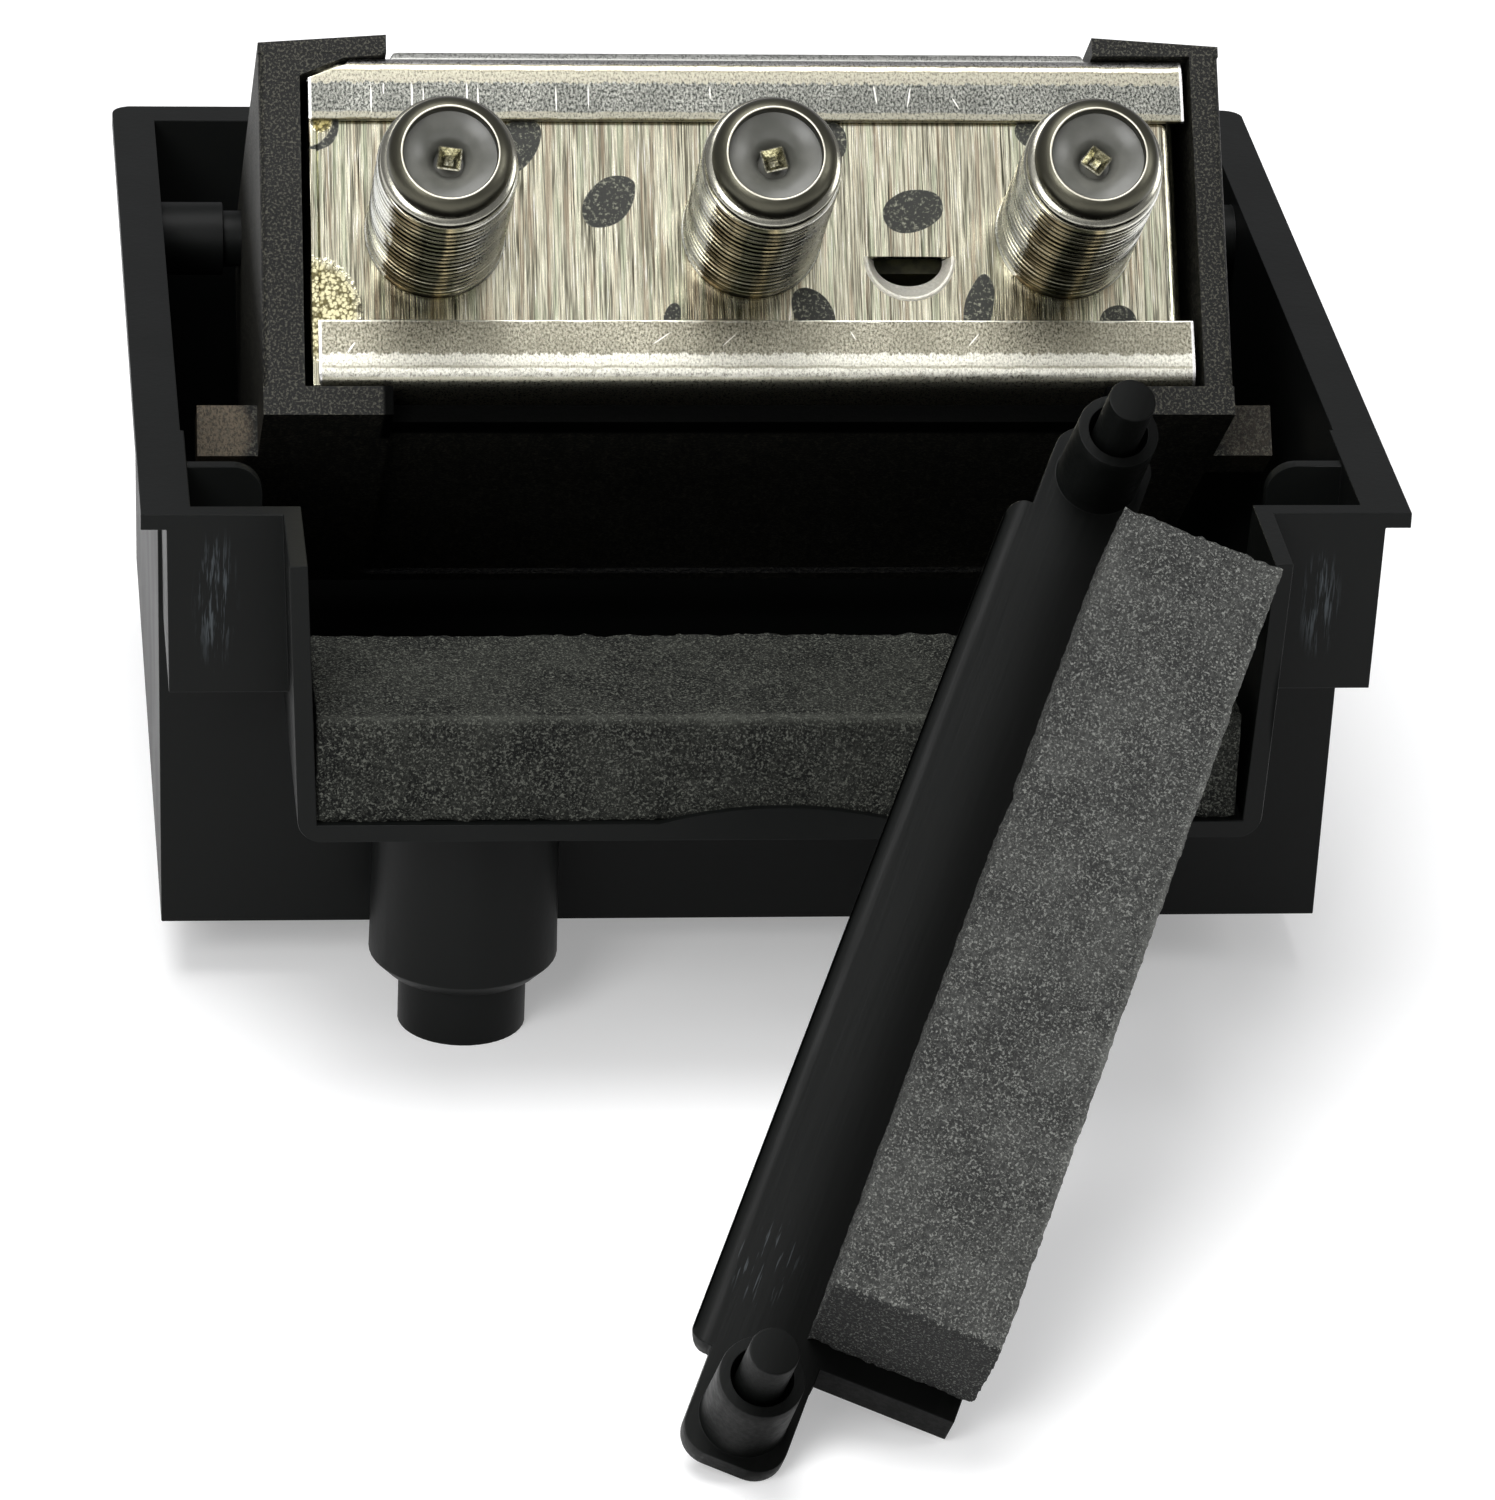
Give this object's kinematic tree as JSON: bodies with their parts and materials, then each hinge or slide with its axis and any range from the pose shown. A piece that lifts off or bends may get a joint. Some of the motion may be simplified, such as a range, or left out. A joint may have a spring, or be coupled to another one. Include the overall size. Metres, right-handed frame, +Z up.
{
  "type": "mast mount aerial coupler housing",
  "caption": "Moulded mast-mount housing with a swing-up drawer that carries a screened module with threaded coaxial sockets, and a clamp bar with a foam cable seal, taken off.",
  "frame": {"origin": "midway between the two mounting posts, on the plane of their ends", "axes": "+X to the right and +Y away from the cable mouth, seen from the mouth; +Z up, out of the open side of the box"},
  "size_m": [0.0832, 0.1361, 0.0623],
  "materials": {
    "black_plastic": "moulded, satin",
    "grained_plastic": "moulded, spark-eroded grain",
    "foam_dark": "open-cell foam, charcoal",
    "foam_light": "open-cell foam, dark grey",
    "tinned_steel": "tin plate, brushed",
    "nickel": "nickel plate",
    "insulator": "grey moulded",
    "contact_brass": "spring brass",
    "board": "glass laminate",
    "copper_wire": "enamelled copper wire",
    "ferrite": "sintered ferrite",
    "ceramic": "dipped ceramic"
  },
  "bodies": {
    "housing": {"housing_shell": "black_plastic", "lower_foam": "foam_dark"},
    "drawer": {"drawer_frame": "grained_plastic", "shield_frame": "tinned_steel", "shield_cover_top": "tinned_steel", "shield_cover_bottom": "tinned_steel", "circuit_board": "board", "air_coils": "copper_wire", "ferrite_cores": "ferrite", "disc_capacitors": "ceramic", "transistor": "ferrite", "socket_body_left": "nickel", "socket_insulator_left": "insulator", "socket_contact_left": "contact_brass", "socket_body_centre": "nickel", "socket_insulator_centre": "insulator", "socket_contact_centre": "contact_brass", "socket_body_right": "nickel", "socket_insulator_right": "insulator", "socket_contact_right": "contact_brass"},
    "bar": {"clamp_bar": "black_plastic", "bar_foam": "foam_light", "lock_pin_upper": "black_plastic", "lock_pin_lower": "black_plastic"}
  },
  "joints": [
    {"name": "drawer_swing", "type": "hinge", "parent": "housing", "child": "drawer", "pos_m": [0, 0.0512, 0.03616], "axis": [-1, 0, 0], "range_deg": [-40.1, 49.9]},
    {"name": "bar_draw", "type": "slide", "parent": "housing", "child": "bar", "axis": [0, -1, 0], "range_m": [0, 0.05]}
  ]
}
